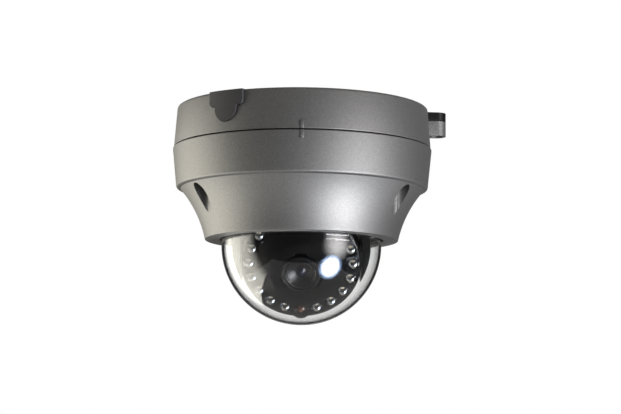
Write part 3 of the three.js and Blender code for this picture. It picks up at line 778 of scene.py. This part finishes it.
def make_bezel():
    outer = [
        (BEZEL_R, BEZEL_SKIRT, 0.2), (BEZEL_R, 22.5, 0.5), (32.0, 23.4, 0.5), (24.9, 24.9, 0.15),
        (24.65, 25.1, 0.1),
    ]
    # The cone is a stair of small steps, so that it shows a row of fine rings.
    ridges = []
    steps = 12
    foot, head = Vector((24.5, 25.2)), Vector((17.75, 33.7))
    rise = (head - foot) / steps
    for k in range(steps):
        spot = foot + rise * k
        ridges += [(spot.x, spot.y + rise.y, 0.5), (spot.x + rise.x, spot.y + rise.y, 0.1)]
    front = [
        (17.65, 34.4, 0.32), (16.85, 34.4, 0.32), (16.6, 34.0, 0.1), (11.6, 34.5, 0.25),
        (11.0, 34.3, 0.2), (11.0, 32.3, 0.2), (14.4, 31.7, 0.3), (22.45, BEZEL_BACK, 0.3),
        (31.9, BEZEL_BACK, 0.3), (31.9, BEZEL_SKIRT, 0.2),
    ]
    bezel = turned("bezel", outer + ridges + front, GLOSSY_BLACK, FINE, fillet=0.2, steps=3)
    spot = led_spot(0)
    bump_profile = [(0, BEZEL_BACK), (5.4, BEZEL_BACK, 0), (5.4, 23.4, 0.5), (0, 23.4)]
    at = Matrix.Translation(spot)
    lump = turned("bump", bump_profile, GLOSSY_BLACK, 96, 0.4, at)
    combine(lump, [rod("inner", 20, 10, 40, GLOSSY_BLACK, segments=64)])
    combine(bezel, [lump], "UNION")
    flare = [(0, 20), (4.1, 20, 0), (4.1, 23.0, 0), (4.6, 24.0, 0), (4.6, 27, 0), (0, 27)]
    cuts = [turned("sensor_hole", flare, GLOSSY_BLACK, 64, 0, at)]
    flare = [(0, 20), (3.3, 20, 0), (3.3, 23.3, 0), (3.75, 24.3, 0), (3.75, 28, 0), (0, 28)]
    for k in range(1, LED_COUNT):
        cuts.append(turned("led_hole", flare, GLOSSY_BLACK, 48, 0, Matrix.Translation(led_spot(k))))
    for turn in (0, 120, 240):
        notch = box_bmesh(-3.3, 3.3, 10.5, 12.1, 30, 40)
        cuts.append(finished("catch_slot", notch, GLOSSY_BLACK, Matrix.Rotation(math.radians(turn), 4, "Z")))
    combine(bezel, cuts)
    bezel.data.transform(in_metres(optical))
    soft_edges(bezel, 0.12, 2, angle=50)
    stands_for(bezel, "camera_module", "black_plastic", "front_bezel")


def make_leds():
    """5 mm infrared LEDs, each a clear bead over a metal cup and its die, and the light sensor."""
    bead = [(0, 18.2, 0), (2.7, 18.2, 0.1), (2.7, 19.2, 0.1), (2.5, 19.3, 0)]
    for k in range(13):
        t = math.pi / 2 * k / 12
        bead.append((2.5 * math.cos(t), 22.5 + 2.5 * math.sin(t), 0))
    bead[-1] = (0, 25.0, 0)
    cup = [
        (0, 19.6, 0), (2.0, 19.6, 0), (2.0, 21.9, 0.05), (1.8, 21.9, 0.05), (1.55, 21.2, 0), (1.15, 20.7, 0),
        (0.6, 20.4, 0), (0, 20.3),
    ]
    for k in range(1, LED_COUNT):
        at = optical @ Matrix.Translation(led_spot(k))
        led = turned(f"ir_bead_{k:02d}", bead, RESIN, SMALL, 0.1, at)
        stands_for(led, "camera_module", "led_resin", f"ir_led_{k:02d}")
        reflector = turned(f"ir_cup_{k:02d}", cup, CUP, 32, 0.05, at)
        stands_for(reflector, "camera_module", "steel")
        die = block(f"ir_die_{k:02d}", -0.35, 0.35, -0.35, 0.35, 20.55, 20.85, DIE, 0.05, at)
        stands_for(die, "camera_module", "steel")
    at = optical @ Matrix.Translation(led_spot(0))
    sensor = turned("light_sensor_holder", [
        (0, 18.2), (2.7, 18.2), (2.7, 21.2), (3.7, 21.2), (3.7, 22.9), (3.35, 23.1), (2.75, 22.8),
        (2.7, 22.0), (0, 22.0),
    ], GLOSSY_BLACK, 64, 0.12, at)
    stands_for(sensor, "camera_module", "black_plastic", "light_sensor")
    window = turned("light_sensor_window", [
        (0, 22.1), (2.5, 22.1), (2.5, 22.4, 0), (2.2, 22.85, 0), (1.7, 23.25, 0), (1.1, 23.5, 0),
        (0.5, 23.65, 0), (0, 23.7),
    ], AMBER, 64, 0.0, at)
    stands_for(window, "camera_module", "sensor_window")


def make_module_body():
    shell = turned("module_housing", [
        (25.4, -8), (27.0, -8), (27.0, 4.4), (29.5, 4.4), (31.6, 7, 0.6), (31.6, 16.0), (29.5, 16.0),
        (29.5, 8), (25.4, 6), (25.4, 2.3), (20.0, 2.3), (20.0, 0.3), (25.4, 0.3),
    ], BLACK, MEDIUM, 0.25, optical)
    stands_for(shell, "camera_module", "black_plastic", "module_shell")
    rear = turned("module_rear_cover", [
        (0, -18), (18, -18, 1.5), (24, -15.5, 1.5), (30, -8.5, 1.0), (30, -4.4), (27.4, -4.4), (27.4, -8.4),
        (22.6, -13.4), (17.4, -15.8), (0, -15.8),
    ], BLACK, MEDIUM, 0.3, optical)
    stands_for(rear, "camera_module", "black_plastic", "rear_cover")
    board = turned("led_ring_board", [
        (12.5, 16.3), (31.0, 16.3), (31.0, 17.9), (12.5, 17.9),
    ], DARK_BOARD, MEDIUM, 0.1, optical)
    stands_for(board, "camera_module", "circuit_board", "led_board")
    mount = turned("lens_mount_tube", [
        (8.2, 0.3), (13.5, 0.3), (13.5, 3.2), (10.6, 3.2), (10.6, 12), (8.2, 12),
    ], BLACK, MEDIUM, 0.25, optical)
    stands_for(mount, "camera_module", "black_plastic", "lens_mount")
    sensor_board = block("sensor_board_panel", -16, 16, -16, 16, -1.6, 0.0, BOARD, 0.15, optical)
    stands_for(sensor_board, "camera_module", "circuit_board", "sensor_board")
    sensor = block("image_sensor_chip", -4.5, 4.5, -3.6, 3.6, 0.3, 1.9, CHIP, 0.15, optical)
    stands_for(sensor, "camera_module", "black_plastic", "image_sensor")


def make_lens():
    barrel = turned("lens_barrel_tube", [
        (0, 6), (7.9, 6), (7.9, 12.4), (11.6, 12.4), (11.6, 27.6), (8.9, 27.6), (8.9, 34.9, 0.2),
        (8.3, 34.9, 0.2), (7.6, 34.3, 0.1), (7.5, 34.0, 0.1), (6.9, 33.5, 0.1), (6.5, 33.3, 0.1),
        (6.3, 33.5, 0.1), (6.1, 33.3, 0.1), (4.6, 32.7, 0.1), (4.5, 32.5, 0.1), (3.0, 32.0, 0.1),
        (3.0, 31.8, 0.1), (6.0, 31.6, 0.1), (6.0, 30.6, 0.1), (0, 30.6),
    ], LENS_BLACK, MEDIUM, 0.2, optical)
    stands_for(barrel, "lens", "black_plastic", "lens_barrel")
    section = [(0, 30.9), (5.8, 30.9, 0.1), (5.8, 31.4, 0.1), (GLASS_R, 31.4, 0)]
    for k in range(17):
        r = GLASS_R * (1 - k / 16)
        section.append((r, GLASS_TOP + GLASS_CROWN * (1 - (r / GLASS_R) ** 2), 0))
    glass = turned("lens_front_element", section, COATED, 96, 0.1, optical)
    stands_for(glass, "lens", "lens_coating", "lens_glass")
    ring = turned("focus_grip_ring", [
        (9.2, 27.9), (10.4, 27.9), (10.4, 35.3, 0.3), (10.1, 35.7, 0.15), (9.5, 35.7, 0.15),
        (9.2, 35.4, 0.15),
    ], LENS_BLACK, MEDIUM, 0.2, optical)
    stands_for(ring, "lens", "black_plastic", "focus_ring")


# ---------- stage, light and camera ----------
WHITE = (1.0, 1.0, 1.0)
RIM_BLUE = (0.36, 0.58, 1.0)
FLOOR_HALF, FLOOR_Z, FLOOR_THICK = 8000, -5000, 10
LIGHTS_AIM = Vector((0, 0, -0.06))

# The camera stands below the object and looks up a little; its frame is turned half a degree.
EYE = Vector((4.90, -1150.53, -204.32))
PITCH, ROLL = math.radians(7.391), math.radians(0.522)
LENS_LENGTH, SENSOR_WIDTH = 120.2, 36.0


def new_floor():
    material, tree, shader = new_material("pale_floor")
    clouds = texture(tree, "ShaderNodeTexNoise", 3)
    tone = ramp(tree, clouds, [(0.3, (0.80, 0.80, 0.80)), (0.7, (0.84, 0.84, 0.84))])
    tree.links.new(tone.outputs["Color"], shader.inputs["Base Color"])
    shader.inputs["Roughness"].default_value = 0.9
    return material


def make_stage():
    sides = (-FLOOR_HALF, FLOOR_HALF, -FLOOR_HALF, FLOOR_HALF)
    slab = box_bmesh(*sides, FLOOR_Z - FLOOR_THICK, FLOOR_Z)
    finished("floor", slab, new_floor())


def combined(tree, operation, first, second):
    """A maths node on two sockets or numbers."""
    node = tree.nodes.new("ShaderNodeMath")
    node.operation = operation
    for socket, value in zip(node.inputs, (first, second)):
        if isinstance(value, (int, float)):
            socket.default_value = value
        else:
            tree.links.new(value, socket)
    return node.outputs["Value"]


def sees_white(tree, direction):
    """1 for the rays that meet the white backdrop, 0 for those that meet the room.

    Camera rays and rays that have only passed through clear plastic see white. Those turned once on
    their way see it too where they go on near +Y, which lightens the dome's rim in the front view.
    """
    rays = tree.nodes.new("ShaderNodeLightPath")
    back = remap(tree, direction, 0.0, 1.0, output="Y", start=0.965, end=0.999)
    bounces = combined(tree, "ADD", rays.outputs["Diffuse Depth"], rays.outputs["Glossy Depth"])
    straight = combined(tree, "LESS_THAN", bounces, 0.5)
    once = combined(tree, "MULTIPLY", combined(tree, "LESS_THAN", bounces, 1.5), back.outputs["Result"])
    clear = combined(tree, "MAXIMUM", straight, once)
    through = combined(tree, "MULTIPLY", rays.outputs["Is Transmission Ray"], clear)
    return combined(tree, "MAXIMUM", rays.outputs["Is Camera Ray"], through)


def make_world():
    """White behind the object, and in what it reflects a room that is dim below and grey above."""
    world = bpy.data.worlds.new("studio")
    bpy.context.scene.world = world
    world.use_nodes = True
    tree = world.node_tree
    tree.nodes.clear()
    place = tree.nodes.new("ShaderNodeTexCoord")
    direction = tree.nodes.new("ShaderNodeSeparateXYZ")
    tree.links.new(place.outputs["Generated"], direction.inputs["Vector"])
    room = tree.nodes.new("ShaderNodeBackground")
    room.inputs["Color"].default_value = (1.0, 0.98, 0.96, 1)
    height = remap(tree, direction, 0.025, 0.34, output="Z", start=0.08, end=0.35)
    tree.links.new(height.outputs["Result"], room.inputs["Strength"])
    white = tree.nodes.new("ShaderNodeBackground")
    white.inputs["Color"].default_value = (*WHITE, 1)
    mix = tree.nodes.new("ShaderNodeMixShader")
    tree.links.new(sees_white(tree, direction), mix.inputs["Fac"])
    tree.links.new(room.outputs["Background"], mix.inputs[1])
    tree.links.new(white.outputs["Background"], mix.inputs[2])
    out = tree.nodes.new("ShaderNodeOutputWorld")
    tree.links.new(mix.outputs["Shader"], out.inputs["Surface"])


def soften_edge(light, core, rim=WHITE, across=(1.0, 1.0)):
    """Keeps a lamp full up to core, a share of its half width; beyond it fades and takes the rim's colour."""
    light.use_nodes = True
    tree = light.node_tree
    emission = tree.nodes["Emission"]
    place = tree.nodes.new("ShaderNodeNewGeometry")
    centred = tree.nodes.new("ShaderNodeVectorMath")
    centred.operation = "SUBTRACT"
    centred.inputs[1].default_value = (0.5, 0.5, 0.0)
    tree.links.new(place.outputs["Parametric"], centred.inputs[0])
    scaled = tree.nodes.new("ShaderNodeVectorMath")
    scaled.operation = "MULTIPLY"
    scaled.inputs[1].default_value = (*across, 0.0)
    tree.links.new(centred.outputs["Vector"], scaled.inputs[0])
    reach = tree.nodes.new("ShaderNodeVectorMath")
    reach.operation = "LENGTH"
    tree.links.new(scaled.outputs["Vector"], reach.inputs[0])
    fade = remap(tree, reach, 1.0, 0.0, output="Value", start=0.5 * core, end=0.5)
    fade.interpolation_type = "SMOOTHSTEP"
    tree.links.new(fade.outputs["Result"], emission.inputs["Strength"])
    tint = ramp(tree, fade, [(0.1, rim), (0.7, WHITE)], output="Result")
    tree.links.new(tint.outputs["Color"], emission.inputs["Color"])


def area_light(
    name, azimuth, elevation, distance, width, height, watts, colour, shape="RECTANGLE", soft=None
):
    """A lamp in the direction of a bearing and elevation, facing the object; its sizes are in metres."""
    a, e = math.radians(azimuth), math.radians(elevation)
    away = Vector((math.sin(a) * math.cos(e), -math.cos(a) * math.cos(e), math.sin(e)))
    light = bpy.data.lights.new(name, "AREA")
    light.shape = shape
    light.size, light.size_y = width, height
    light.energy = watts
    light.color = colour
    if soft:
        soften_edge(light, **soft)
    lamp = bpy.data.objects.new(name, light)
    lamp.location = LIGHTS_AIM + away * distance
    lamp.rotation_mode = "QUATERNION"
    lamp.rotation_quaternion = away.to_track_quat("Z", "Y")
    bpy.context.scene.collection.objects.link(lamp)


def make_lights():
    area_light("left_softbox", -106, -16, 1.2, 2.0, 1.5, 41, (1.0, 0.97, 0.87),
               soft={"core": 0.35, "across": (1.0, 0.0)})
    area_light("front_dish", 49.5, -33.3, 1.1, 0.72, 0.72, 46, (1.0, 0.985, 0.98), "DISK",
               soft={"core": 0.28, "rim": RIM_BLUE})
    area_light("front_glow", 52, -4, 1.15, 1.0, 1.0, 19, (1.0, 0.975, 0.98), "DISK", soft={"core": 0.1})
    area_light("right_strip", 53, 3, 1.2, 0.8, 0.012, 0.62, (0.96, 0.97, 1.0))


def make_camera():
    look = Vector((0, math.cos(PITCH), math.sin(PITCH)))
    right, up = Vector((1, 0, 0)), Vector((0, -math.sin(PITCH), math.cos(PITCH)))
    turned_right = right * math.cos(ROLL) + up * math.sin(ROLL)
    turned_up = up * math.cos(ROLL) - right * math.sin(ROLL)
    data = bpy.data.cameras.new("camera")
    data.sensor_width = SENSOR_WIDTH
    data.lens = LENS_LENGTH
    eye = bpy.data.objects.new("camera", data)
    matrix = Matrix((turned_right, turned_up, -look)).transposed().to_4x4()
    matrix.translation = EYE * MM
    eye.matrix_world = matrix
    bpy.context.scene.collection.objects.link(eye)
    bpy.context.scene.camera = eye


make_base()
make_plate()
make_conduit_cap()
make_base_fittings()
make_cover()
make_dome()
make_clamp()
make_chassis()
make_yoke()
make_tilt_frame()
make_bezel()
make_leds()
make_module_body()
make_lens()
make_stage()
make_world()
make_lights()
make_camera()
bpy.context.scene.view_settings.view_transform = "Standard"
